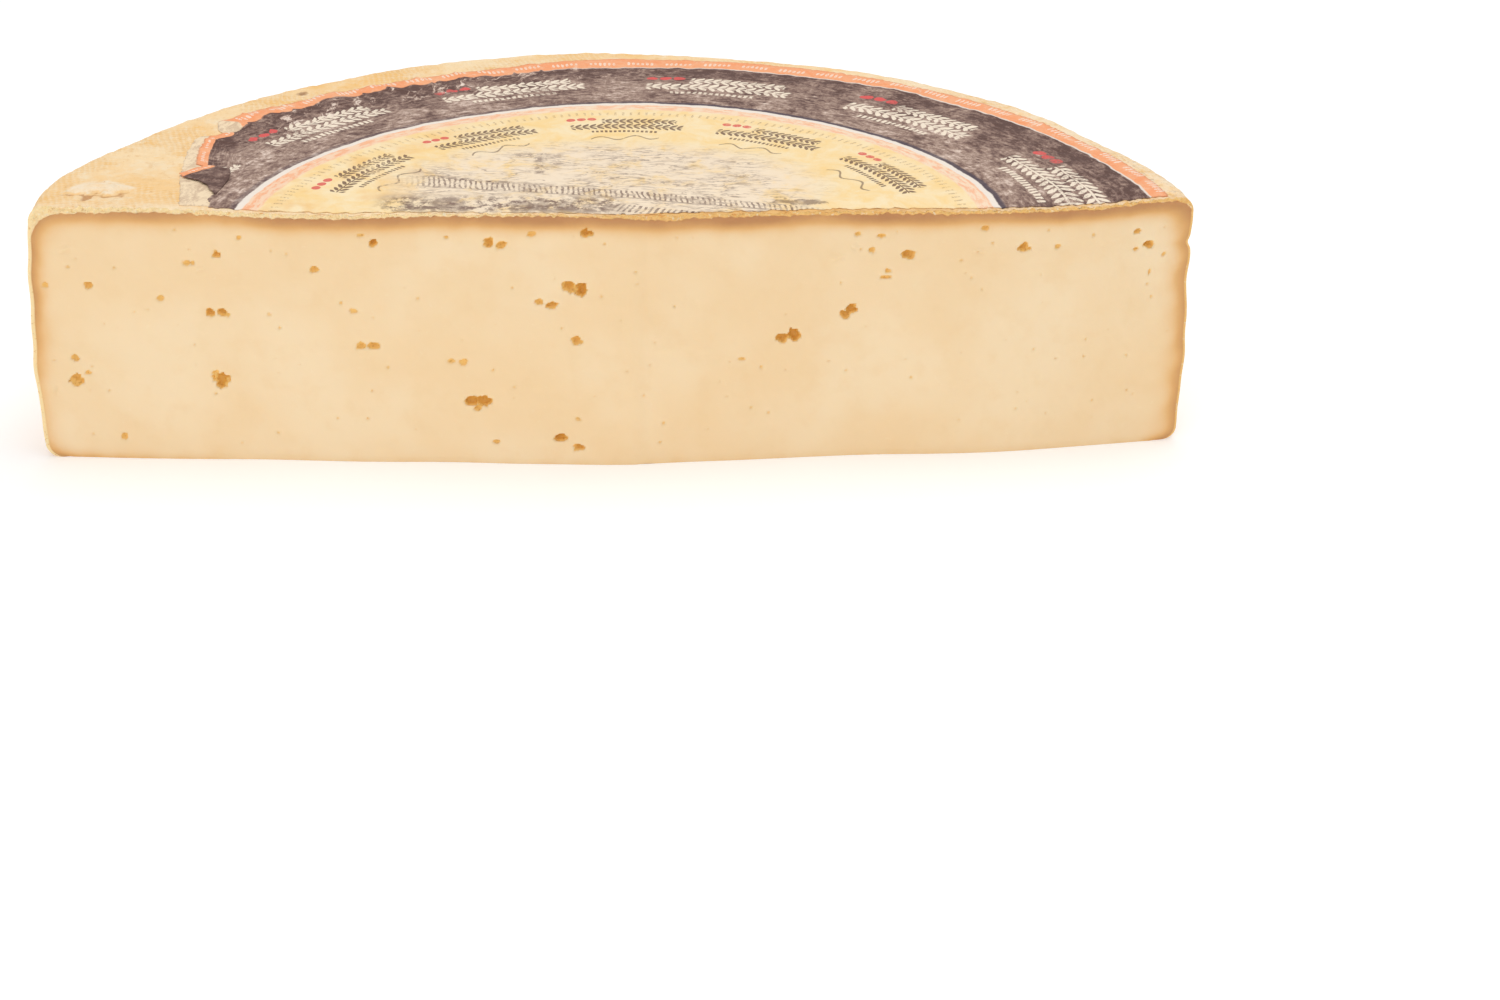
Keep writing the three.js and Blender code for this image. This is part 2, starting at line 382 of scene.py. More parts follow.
def grid_faces(index):
    """Four-sided faces between the neighbours of a grid of point numbers."""
    corners = [index[:-1, :-1], index[1:, :-1], index[1:, 1:], index[:-1, 1:]]
    return np.stack([c.ravel() for c in corners], -1).tolist()


def build_cheese():
    """The points, faces and surface facts of the whole half wheel."""
    face, middle, facts = cut_face()
    rows, columns = face.shape[:2]
    face_at = np.arange(rows * columns).reshape(rows, columns)
    paste_faces = grid_faces(face_at)

    angles = ray_angles()
    inward = np.concatenate([np.arange(0, 56, 1.2), np.arange(56, 176, 6)])
    shares = np.sort(1 - inward[1:][inward[1:] < FLAT_RADIUS - 12] / FLAT_RADIUS)
    reach = np.concatenate([
        shares[None] * to_rim(angles[:, None], FLAT_RADIUS),
        to_rim(angles[:, None], section_r[::-1][None]),
        shares[::-1][None] * to_rim(angles[:, None], section_r[0]),
    ], 1)
    heights = np.concatenate([
        np.full(len(shares), WHEEL_HEIGHT), section_z[::-1], np.zeros(len(shares)),
    ])
    plan = meeting + reach[..., None] * headings(angles)[:, None]
    rays = lifted(plan, np.repeat(heights[None], len(angles), 0))
    rays_at = face_at.size + np.arange(rays.size // 3).reshape(rays.shape[:2])
    rind_faces = grid_faces(rays_at)

    rind_faces += fan(face_at[-1, middle], rays_at[:, 0]) + fan(face_at[0, middle], rays_at[:, -1])

    side = slice(len(shares), len(shares) + rows)
    for ray, column, outward in ((0, -1, 1), (-1, 0, -1)):
        side_rows = np.stack([rays_at[ray, side], face_at[::-1, column]])
        rind_faces += grid_faces(side_rows)
        top_part, base_part = slice(0, len(shares) + 1), slice(-1, -len(shares) - 2, -1)
        for edge_row, ray_part in ((-1, top_part), (0, base_part)):
            edge = face_at[edge_row, middle:] if outward > 0 else face_at[edge_row, middle::-1]
            edge_plan = face.reshape(-1, 3)[edge][:, :2]
            ray_points = np.append([face_at[edge_row, middle]], rays_at[ray, ray_part])
            ray_reach = np.append([0], reach[ray, ray_part])
            edge_reach = np.hypot(*(edge_plan - meeting).T)
            rind_faces += zip_up(edge, ray_points, edge_reach, ray_reach)

    points = sag(np.concatenate([face.reshape(-1, 3), rays.reshape(-1, 3)]))
    facts = {name: np.append(on_face, np.zeros(rays_at.size)) for name, on_face in facts.items()}
    from_cut = distance_from_cut(rays[..., :2]).ravel()
    facts["from_cut"] = np.append(np.zeros(face_at.size), from_cut)
    facts["flake"] = np.append(np.zeros(face_at.size), roughen_rind(points[face_at.size:], from_cut))
    return points, paste_faces, rind_faces, facts


def distance_from_cut(plan):
    """How far plan points lie behind the knife's path."""
    slope = math.tan(math.radians(CUT_TURN))
    behind_left = plan[..., 1] - CUT_SETBACK
    behind_right = (behind_left - plan[..., 0] * slope) * math.cos(math.radians(CUT_TURN))
    return np.maximum(0, np.where(plan[..., 0] < 0, behind_left, behind_right))


FLAKE = (-163, 25)  # a raised whitish flake of rind near the left corner, torn along its front


def roughen_rind(rind, from_cut):
    """Lumps, a crumbled front edge and a torn flake on the rind. Gives where the flake is, and below zero
    where its tear sinks in, which the rind's colour darkens as painted shade.
    """
    beside_cut = np.exp(-from_cut / 1.6)
    outside = smooth((np.hypot(rind[:, 0], rind[:, 1]) - 128) / 6)
    high = rind[:, 2] > WHEEL_HEIGHT - 3
    rind[:, 2] += high * outside * 0.16 * ripple(rind[:, :2], 4.5, 41)
    rind[:, 2] += high * beside_cut * (0.25 * ripple(rind[:, :2], 2.4, 42) - 0.1)
    off = (rind[:, :2] - FLAKE) / (10, 8)
    off += 0.3 * ripple(rind[:, :2], 8, 43)[:, None] + 0.12 * ripple(rind[:, :2], 2.5, 45)[:, None]
    front = off[:, 1] + 0.5 + 0.3 * ripple(rind[:, :1], 6, 44)
    raised = smooth(1.6 - 1.3 * np.hypot(off[:, 0], off[:, 1])) * smooth(front * 5)
    torn = np.exp(-((front + 0.12) * 5) ** 2) * smooth(1.4 - abs(off[:, 0]))
    rind[:, 2] += high * (raised * (0.3 + 0.35 * ripple(rind[:, :2], 2.4, 46)) - 1.1 * torn)
    return high * (raised - 1.2 * torn)


def mesh_object(name, points, faces):
    """A mesh object in metres whose points are given in millimetres from the wheel's axis."""
    mesh = bpy.data.meshes.new(name)
    mesh.from_pydata((points * MM).tolist(), [], faces)
    shell = bmesh.new()
    shell.from_mesh(mesh)
    bmesh.ops.recalc_face_normals(shell, faces=shell.faces)
    shell.to_mesh(mesh)
    shell.free()
    mesh.polygons.foreach_set("use_smooth", np.ones(len(mesh.polygons), bool))
    made = bpy.data.objects.new(name, mesh)
    made.location = AXIS
    bpy.context.scene.collection.objects.link(made)
    return made


def add_facts(made, facts):
    """Stores numbers on the points of a mesh, for its materials to read."""
    for name, numbers in facts.items():
        layer = made.data.attributes.new(name, "FLOAT", "POINT")
        layer.data.foreach_set("value", numbers.astype(np.float32))


def paint(red, green, blue):
    """A colour in the renderer's linear numbers, from the usual 0 to 255 of a paint chart."""
    shares = [part / 255 for part in (red, green, blue)]
    linear = [s / 12.92 if s <= 0.04045 else ((s + 0.055) / 1.055) ** 2.4 for s in shares]
    return (*linear, 1)


class Tone:
    """A number or colour in a material. Sums and products of tones add the nodes they need."""

    def __init__(self, tree, socket):
        self.tree = tree
        self.socket = socket

    def node(self, kind, settings=None, inputs=None, output=0):
        """The output of any node, made in the same material."""
        node = self.tree.nodes.new(kind)
        for name, setting in (settings or {}).items():
            if name == "stops":
                set_stops(node.color_ramp, setting)
            else:
                setattr(node, name, setting)
        for name, value in (inputs or {}).items():
            if isinstance(value, Tone):
                self.tree.links.new(value.socket, node.inputs[name])
            else:
                node.inputs[name].default_value = value
        return Tone(self.tree, node.outputs[output])

    def maths(self, operation, *values):
        inputs = dict(enumerate([self, *values]))
        return self.node("ShaderNodeMath", {"operation": operation}, inputs)

    def __add__(self, other):
        return self.maths("ADD", other)

    __radd__ = __add__

    def __mul__(self, other):
        return self.maths("MULTIPLY", other)

    __rmul__ = __mul__

    def __sub__(self, other):
        return self.maths("SUBTRACT", other)

    def __rsub__(self, other):
        return (self * -1) + other

    def __truediv__(self, other):
        return self.maths("DIVIDE", other)

    def ease(self, low, high):
        """0 below low, 1 above high, and a smooth step between them."""
        inputs = {"Value": self, "From Min": low, "From Max": high}
        return self.node("ShaderNodeMapRange", {"interpolation_type": "SMOOTHSTEP"}, inputs)

    def blend(self, colour, other):
        """colour where this mask is 0, and other where it is 1."""
        inputs = {0: self, 6: colour, 7: other}
        return self.node("ShaderNodeMix", {"data_type": "RGBA"}, inputs, 2)

    def noise(self, size, detail=3, roughness=0.55, stretch=(1, 1, 1), warp=0):
        """Noise on this place, in features about as wide as size, from 0 to 1."""
        scaled = {"Vector": self, "Scale": tuple(1 / (size * s) for s in stretch)}
        place = self.node("ShaderNodeMapping", {"vector_type": "POINT"}, scaled)
        inputs = {"Vector": place, "Scale": 1, "Detail": detail, "Roughness": roughness,
                  "Distortion": warp}
        return self.node("ShaderNodeTexNoise", {}, inputs)


def set_stops(ramp, stops):
    """Gives a colour ramp its stops, as (place, colour) from first to last."""
    while len(ramp.elements) < len(stops):
        ramp.elements.new(1)
    for element, (place, colour) in zip(ramp.elements, stops):
        element.position = place
        element.color = colour


def new_material(name):
    """A material, its main shader, and the place on the piece in millimetres from the axis."""
    material = bpy.data.materials.new(name)
    material.use_nodes = True
    tree = material.node_tree
    shader = tree.nodes["Principled BSDF"]
    start = Tone(tree, tree.nodes.new("ShaderNodeTexCoord").outputs["Object"])
    scaled = {0: start, "Scale": 1 / MM}
    place = start.node("ShaderNodeVectorMath", {"operation": "SCALE"}, scaled)
    return material, shader, place


def parts_of(place):
    """How far a place lies to the right of the axis, behind it, and above the base."""
    split = place.node("ShaderNodeSeparateXYZ", {}, {0: place})
    return [split] + [Tone(place.tree, split.socket.node.outputs[i]) for i in (1, 2)]


def fact(place, name):
    """A number stored on the mesh."""
    return place.node("ShaderNodeAttribute", {"attribute_name": name}, output=2)


def feed(shader, socket, tone):
    """Links what varies over the surface to the shader."""
    tone.tree.links.new(tone.socket, shader.inputs[socket])


def settle(shader, values):
    """Sets what is the same all over on the shader itself."""
    for socket, value in values.items():
        shader.inputs[socket].default_value = value


def bumped(height):
    """The surface's slope from a height in millimetres."""
    return height.node("ShaderNodeBump", {}, {"Height": height, "Distance": MM, "Strength": 1})


def layered(colour, layers):
    """Lays paints over a colour, each as thick as its mask says, from 0 to 1."""
    for mask, shade in layers:
        colour = mask.blend(colour, paint(*shade))
    return colour


def oval(across, back, middle, reach=(1, 1)):
    """0 in the middle of an oval and 1 on its edge, growing with the square of the distance."""
    right = (across - middle[0]) / reach[0]
    behind = (back - middle[1]) / reach[1]
    return right * right + behind * behind


def paste_material():
    """Pale elastic paste, browner towards the rind, with the cut edge of the rind around it."""
    material, shader, place = new_material("cheese_paste")
    ripe = fact(place, "ripe")
    pit = fact(place, "pit")
    crust = fact(place, "crust")
    across = parts_of(place)[0]
    cloud = place.noise(38, 2)
    mottle = place.noise(7, 3)
    grit = place.noise(1.3, 3, 0.7)
    browned = (ripe + (mottle - 0.5) * ripe * 0.25).ease(-0.1, 1.05)
    colour = layered(paint(245, 214, 168), [
        (cloud.ease(0.3, 0.7), (248, 222, 182)),
        (mottle.ease(0.45, 0.8) * 0.35, (241, 207, 157)),
        (place.noise(1.6, 2).ease(0.66, 0.78) * 0.12, (255, 238, 208)),
        (browned.ease(0.02, 0.62), (234, 182, 114)),
        (browned.ease(0.36, 1.06), (190, 134, 86)),
    ])
    # The eyes' walls keep their own golden tone, and grow darker towards the bottom of each eye: painted
    # shade in the hollows.
    eye = layered(paint(244, 196, 112), [
        (pit.ease(0.45, 1), (224, 164, 72)),
        (place.noise(0.9, 2, 0.6).ease(0.56, 0.64) * 0.5, (194, 130, 48)),
    ])
    lip = layered(paint(255, 224, 170), [
        (across.ease(-70, 10), (241, 192, 119)),
        (grit.ease(0.55, 0.7) * 0.6, (253, 238, 212)),
        (grit.ease(0.44, 0.3) * 0.6, (214, 160, 94)),
    ])
    colour = pit.ease(0.02, 0.4).blend(colour, eye)
    colour = crust.ease(0.2, 0.8).blend(colour, lip)
    feed(shader, "Base Color", colour)
    feed(shader, "Roughness", mottle * 0.16 + crust * 0.2 + 0.4)
    smear = place.noise(2.2, 3, stretch=(3, 3, 1)) * 0.05 + place.noise(0.8, 2) * 0.03
    feed(shader, "Normal", bumped(smear + grit * crust * 0.5))
    settle(shader, {
        "Subsurface Weight": 0.15, "Subsurface Radius": (1.0, 0.75, 0.45),
        "Subsurface Scale": 0.004, "Specular IOR Level": 0.35,
    })
    return material


THREAD_PITCH = 1.9  # of the press cloth whose print is left in the rind
BRUISE = (-117, 124.5)  # a small brown bruise on the top, as a place from the axis


def rind_material():
    """Washed rind: yellow to ochre, chalky in patches, with the print of the cloth as a bump and as painted
    highlight and shade, and a browner side wall that is partly painted shade.
    """
    material, shader, place = new_material("cheese_rind")
    across, back, up = parts_of(place)
    from_cut = fact(place, "from_cut")
    flake = fact(place, "flake")
    cloud = place.noise(46, 3, warp=0.4)
    patch = place.noise(15, 4, 0.62)
    fine = place.noise(3.2, 4, 0.65)
    warp = (place.noise(11, 2) - 0.5) * 4
    thread = 2 * math.pi / THREAD_PITCH
    cloth = ((across + back * 0.3 + warp) * thread).maths("SINE")
    cloth += ((back - across * 0.3 + up + warp) * thread).maths("SINE")
    cloth *= place.noise(30, 2).ease(0.38, 0.6)
    side = up.ease(WHEEL_HEIGHT - 4, WHEEL_HEIGHT - 18)
    on_top = up.ease(70, 82)
    band = place.noise(24, 4, 0.6, stretch=(1, 1, 0.5))
    chalk = from_cut.ease(6, 0) * across.ease(20, -30) * fine.ease(0.3, 0.55) * on_top
    ochre = from_cut.ease(3.4, 0.8) * across.ease(-30, 20) * on_top
    specks = place.noise(1.5, 3, 0.7).ease(0.67, 0.75)
    mould = place.noise(1.8, 3, 0.75).ease(0.56, 0.66) * across.ease(40, 120) * back.ease(120, 60)
    bruise = (oval(across, back, BRUISE).maths("SQRT") + (fine - 0.5) * 4).ease(2.6, 0.8)
    colour = layered(paint(253, 211, 150), [
        (cloud.ease(0.34, 0.66), (255, 226, 180)),
        (patch.ease(0.5, 0.7) * 0.75, (252, 197, 112)),
        (patch.ease(0.46, 0.28) * 0.7, (253, 234, 200)),
        (fine.ease(0.5, 0.72) * 0.5, (253, 234, 202)),
        (fine.ease(0.44, 0.28) * 0.45, (232, 178, 106)),
        # The cloth's print is painted lighter along its raised threads and darker in its grooves, following
        # the bump of the same waves: painted highlight and painted shade.
        (cloth.ease(0.2, 1.4) * 0.3, (254, 238, 212)),
        (cloth.ease(-0.2, -1.4) * 0.22, (238, 186, 116)),
        # Down the side wall and the base, below the top's edge, the rind is browner: partly its own tone,
        # partly painted shade where the wall turns away from the lamps. The bands over it are its own uneven
        # tone.
        (side * 0.8, (228, 174, 108)),
        (side * band.ease(0.48, 0.7) * 0.6, (208, 146, 86)),
        (side * band.ease(0.45, 0.25) * 0.5, (246, 216, 168)),
        (chalk * 0.7, (255, 231, 194)),
        (ochre * 0.9, (240, 188, 114)),
        (flake.ease(0.1, 0.7) * (fine.ease(0.3, 0.6) * 0.5 + 0.35), (254, 236, 208)),
        # Darker where the tear in front of the raised flake sinks in: painted shade in the tear.
        (flake.ease(-0.15, -0.8) * 0.8, (196, 140, 88)),
        (across.ease(50, 140) * fine.ease(0.3, 0.6) * 0.5, (255, 238, 212)),
        (specks * 0.6, (196, 132, 78)),
        (mould * up.ease(60, 84) * 0.5, (186, 160, 136)),
        (bruise * on_top * 0.8, (150, 96, 56)),
    ])
    feed(shader, "Base Color", colour)
    feed(shader, "Roughness", fine * 0.25 + 0.5)
    pores = place.noise(0.9, 3, 0.7) * 0.22
    feed(shader, "Normal", bumped(cloth * 0.07 + pores + fine * 0.5))
    settle(shader, {"Specular IOR Level": 0.3})
    return material


cheese_points, paste_faces, rind_faces, cheese_facts = build_cheese()
cheese = mesh_object("cheese_body", cheese_points, paste_faces + rind_faces)
add_facts(cheese, cheese_facts)
cheese.data.materials.append(rind_material())
cheese.data.materials.append(paste_material())
slots = np.zeros(len(cheese.data.polygons), int)
slots[: len(paste_faces)] = 1
cheese.data.polygons.foreach_set("material_index", slots)
cheese.data.set_sharp_from_angle(angle=math.radians(50))
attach(cheese, "root")
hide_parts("cheese")


# THE PAPER LABEL
# One round sheet of printed paper, stuck on the young wheel and cut with it. It is worn by
# brushing, wrinkled where the wheel shrank, and folded over, pleated and torn at its left end.

LABEL_RADIUS = FLAT_RADIUS - 3
LABEL_LIFT = 0.2  # from the rind to the middle of the paper
PAPER = 0.16  # thickness, with its glue
LOWEST_PAPER = 3  # the most that its edge may follow the rind down
ORANGE_RING = 163.5  # inner radius of the outer orange ring
BAND_RING = 118.6  # inner radius of the charcoal band
WHITE_RING = 116.5  # inner radius of the white line inside the band
CENTRE_RING = 111.4  # inner radius of the inner orange ring
STRETCHED = (135, 24, 2.4)  # a stretched part: degrees round, width, and its millimetres

# Where the wheel shrank: degrees round, how far the paper's edge drew in, and how far its print.
DRAWN_IN = [
    (12, 0, -3.5), (20, 0.8, -2.3), (30, 1.8, -1.3), (40, 1.5, -0.7), (50, 1, 0), (57, 1, -2.2),
    (61, 1, -0.2), (70, 1.4, 1.5), (75, 1.5, 2.1), (80, 1.5, 0.7), (85, 2, 2.9), (90, 2.5, 4),
    (95, 3.2, 5), (100, 5, 5), (105, 6.9, 5.8), (110, 9, 7), (115, 9.5, 5.1), (120, 10, 6.7),
    (125, 9.8, 3.8), (130, 9.5, 4.5), (135, 8.8, 3.9), (140, 8, 3.5), (146, 7, 4.3),
]
drawn_at, edge_drawn_in, print_drawn_in = zip(*DRAWN_IN)

TORN_FROM = 136  # degrees round, past which the sheet's rows of points stand closer together
WHOLE_ROWS = 340  # rows up to there
TORN_ROWS = 190  # rows past it
ROW_POINTS = 170

# The torn and pleated end, from the outer ring down to the cut, as places from the axis.
TORN_EDGE = [
    (-122, 117.5), (-131, 106), (-139.5, 95), (-139.4, 91), (-138, 84), (-135.5, 80), (-139.5, 77),
    (-140.2, 70), (-139.2, 58), (-137.6, 48.5), (-133.5, 47), (-131, 44), (-129, 38), (-127, 30),
    (-126.5, 22), (-127.5, 17), (-126, 13), (-126, 8),
]
BORDER_STRIP = [(-135.5, 80), (-139.5, 77), (-140.2, 70), (-139.2, 58), (-137.6, 48.5)]
BORDER_WIDTH = 3.6  # of the orange border left on that strip
MARGINS_AT = (20, 100, 140)  # lengths along the cut from the meeting line
RIGHT_MARGINS = (0.6, 1.3, 1.3)  # how far the paper stops short of the cut at those lengths
LEFT_MARGINS = (0.5, 0.9, 2.1)
BARE_SPOT = (-136, 86)  # where the print tore off, as a place from the axis
BARE_WIDTH = 4.6


def label_reach(angle):
    """How far the label runs from the meeting line in each direction."""
    circle = to_rim(angle, LABEL_RADIUS)
    edge = np.array(TORN_EDGE) - meeting
    edge_angle = np.arctan2(edge[:, 1], edge[:, 0]) % (2 * math.pi)
    edge_reach = np.hypot(edge[:, 0], edge[:, 1])
    order = np.argsort(edge_angle)
    torn = np.interp(angle, edge_angle[order], edge_reach[order])
    from_axis = meeting + circle[..., None] * headings(angle)
    degrees = np.degrees(np.arctan2(from_axis[..., 1], from_axis[..., 0]))
    circle -= np.interp(degrees, drawn_at, edge_drawn_in)
    return np.where(angle > edge_angle.min(), np.minimum(torn, circle), circle)


def label_relief(plan, angle):
    """The paper's wrinkles, in millimetres above the rind."""
    radius = np.hypot(plan[..., 0], plan[..., 1])
    round_rim = np.stack([angle * 57 + 0 * radius, radius / 9], -1)
    shrunk = smooth((radius - 140) / 18) * smooth((plan[..., 0] + 25) / -40)
    crease = np.clip(1 - 2.2 * abs(ripple(round_rim, 7, 51)), 0, 1) ** 2
    bands = smooth((radius - 118) / 12)
    long_crease = np.clip(1 - 5 * abs(ripple(round_rim * (1, 4), 16, 57)), 0, 1) ** 2
    creeping = 0.07 * ripple(plan, 6, 52) + 0.03 * ripple(plan, 2.2, 53)
    wrinkles = 0.75 * shrunk * crease + 0.14 * bands * long_crease
    return LABEL_LIFT + np.maximum(-0.05, creeping) + wrinkles


def rind_height(plan):
    """The height of the rind's top under plan points, found by rays cast down on the cheese."""
    down = Vector((0, 0, -1))
    heights = []
    for x, y in plan.reshape(-1, 2) * MM:
        hit = rind_tree.ray_cast(Vector((x, y, 2 * WHEEL_HEIGHT * MM)), down)[0]
        heights.append(max(hit.z / MM, WHEEL_HEIGHT - LOWEST_PAPER) if hit else WHEEL_HEIGHT)
    return np.array(heights).reshape(plan.shape[:-1])


def away_from(plan, line):
    """How far plan points lie from a line of straight stretches."""
    nearest = np.full(plan.shape[:-1], np.inf)
    for start, stop in zip(np.array(line[:-1], float), np.array(line[1:], float)):
        way = stop - start
        share = np.clip((plan - start) @ way / (way @ way), 0, 1)
        nearest = np.minimum(nearest, np.linalg.norm(plan - start - share[..., None] * way, axis=-1))
    return nearest


def border_ring(plan, line, width):
    """Where points lie in the print beside a stretch of the label's orange border."""
    return LABEL_RADIUS - away_from(plan, line) * (LABEL_RADIUS - ORANGE_RING) / width


def print_facts(plan):
    """Where each point lies in the label's print, as a radius, and how bare the paper is."""
    radius = np.hypot(plan[:, 0], plan[:, 1])
    angle = np.degrees(np.arctan2(plan[:, 1], plan[:, 0]))
    pinched = np.clip(1 - 3 * abs(ripple(angle[:, None], 7, 58)), 0, 1)
    left_part = smooth((angle - 96) / 12)
    middle, width, stretch = STRETCHED
    ring = radius + stretch * hump(angle - middle, width)
    drawn_in = np.interp(angle, drawn_at, print_drawn_in)
    drawn_in += left_part * (0.6 - 2.2 * pinched)
    ring += drawn_in * smooth((radius - 130) / 25)
    ring = np.maximum(ring, border_ring(plan, BORDER_STRIP, BORDER_WIDTH))
    bare = smooth(1.7 - np.hypot(*(plan - BARE_SPOT).T) / BARE_WIDTH)
    return {"ring": ring, "bare": bare}


def build_label():
    """The main sheet, as rays from the meeting line out to the paper's edge."""
    start, stop = math.radians(CUT_TURN), math.pi
    torn = math.radians(TORN_FROM)
    before, past = np.linspace(start, torn, WHOLE_ROWS), np.linspace(torn, stop, TORN_ROWS)
    angles = np.append(before[:-1], past)
    reach = np.linspace(0, 1, ROW_POINTS)[1:] * label_reach(angles)[:, None]
    straight = meeting + reach[..., None] * headings(angles)[:, None]
    uneven = 0.6 * ripple(reach[..., None], 7, 54) + 0.3 * ripple(reach[..., None], 2, 55)
    for edge, sign, margins in ((start, 1, RIGHT_MARGINS), (stop, -1, LEFT_MARGINS)):
        margin = np.interp(reach, MARGINS_AT, margins)
        back_off = np.maximum(margin + uneven, 0.25) - bow(sign * reach)
        along, turned = on_path(sign * reach)
        shifted = along.copy()
        shifted[..., 0] -= back_off * np.sin(turned)
        shifted[..., 1] += back_off * np.cos(turned)
        gone = smooth(abs(angles - edge) / math.radians(4))[:, None, None]
        straight = gone * straight + (1 - gone) * (shifted + straight - along)
    ragged = 0.25 * ripple(angles[:, None] * 160, 2.4, 56)
    outward = straight[:, -1] - meeting
    straight[:, -1] += outward * (ragged / np.linalg.norm(outward, axis=1))[:, None]
    height = rind_height(straight) + label_relief(straight, angles[:, None])
    points = lifted(straight, height)
    first = np.append(meeting + (0, 2), points[:, 0, 2].mean())
    at = 1 + np.arange(points.size // 3).reshape(points.shape[:2])
    return np.concatenate([first[None], points.reshape(-1, 3)]), grid_faces(at) + fan(0, at[:, 0])


def along_line(line, count):
    """Points at even steps along a line of straight stretches."""
    line = np.array(line, float)
    steps = np.append(0, np.cumsum(np.hypot(*np.diff(line, axis=0).T)))
    at = np.linspace(0, steps[-1], count)
    return np.stack([np.interp(at, steps, line[:, i]) for i in (0, 1)], -1)


def build_strip(left, right, lift, seed, rows=60, columns=24):
    """A loose piece of paper between two edges, at its height above the rind at each edge."""
    shares = np.linspace(0, 1, columns)[None, :, None]
    ends = [along_line(line, rows)[:, None] for line in (left, right)]
    ends[0] = ends[0] + 0.3 * ripple(ends[0], 2.5, seed)[..., None]
    plan = ends[0] * (1 - shares) + ends[1] * shares
    rise = lift[0] * (1 - shares[..., 0]) + lift[1] * shares[..., 0]
    height = rind_height(plan) + rise + 0.06 * ripple(plan, 5, seed + 1)
    points = lifted(plan, height).reshape(-1, 3)
    return points, grid_faces(np.arange(rows * columns).reshape(rows, columns))


# The sheet's own back layer, bared where the print tore away, and the flap folded over it.
BACKING_LEFT = [
    (-142, 77.5), (-143.5, 74), (-143.3, 62), (-141.7, 48), (-140, 35), (-137, 22), (-135, 11.5),
]
BACKING_RIGHT = [
    (-138, 78), (-136, 70), (-135, 60), (-133, 48), (-129, 36), (-125, 22), (-124, 12),
]
FLAP_BORDER = [(-134, 47), (-137.6, 43), (-140.9, 38.4)]
FLAP_LEFT = FLAP_BORDER + [(-138.4, 35.3), (-133, 32.5), (-129.3, 27.5), (-126.6, 21)]
FLAP_RIGHT = [
    (-133, 47.2), (-129, 45.5), (-126, 44), (-125, 40), (-124.6, 35), (-125, 29), (-125.8, 21),
]


def within(tone, low, high, soft=0.2):
    """1 where a tone lies between low and high."""
    return tone.ease(low - soft, low + soft) * tone.ease(high + soft, high - soft)


def from_line(tone, half):
    """How far a tone lies from the nearest of a row of lines that stand twice half apart."""
    return tone.maths("WRAP", half, -half).maths("ABSOLUTE")


def topmost(mask, *others):
    """The strongest of several masks."""
    for other in others:
        mask = mask.maths("MAXIMUM", other)
    return mask


def sprig(along, out, start, stop, leaf, pitch):
    """A leafy sprig: two rows of slanting leaves on a stem that runs from start to stop."""
    beside = out.maths("ABSOLUTE")
    slanted = from_line(along - beside * 0.7, pitch / 2)
    width = beside * (leaf - beside) * (pitch * 1.45 / leaf**2)
    leaves = (width - slanted).ease(-0.12, 0.2) * within(beside, 0.35, leaf)
    return topmost(leaves, beside.ease(0.5, 0.25)) * within(along, start, stop, 0.5)


def ornament(along, out, size):
    """Two sprigs over a notched rule, and the berries beside them, as two masks."""
    along, out = along / size, out / size
    tall = sprig(along, out - 6.2, -11, 22, 3.6, 3.1)
    low = sprig(along, out + 1.4, -26, 26, 4, 3.4)
    notch = from_line(along, 1.1).ease(0.35, 0.55)
    rule = within(out, -9.9, -7.4) * within(along, -17, 15) * notch
    berry = oval(from_line(along + 20, 2.3), out, (0, 9.3)).maths("SQRT").ease(2.15, 1.85)
    return topmost(tall, low, rule), berry * within(along, -26.8, -13.2)


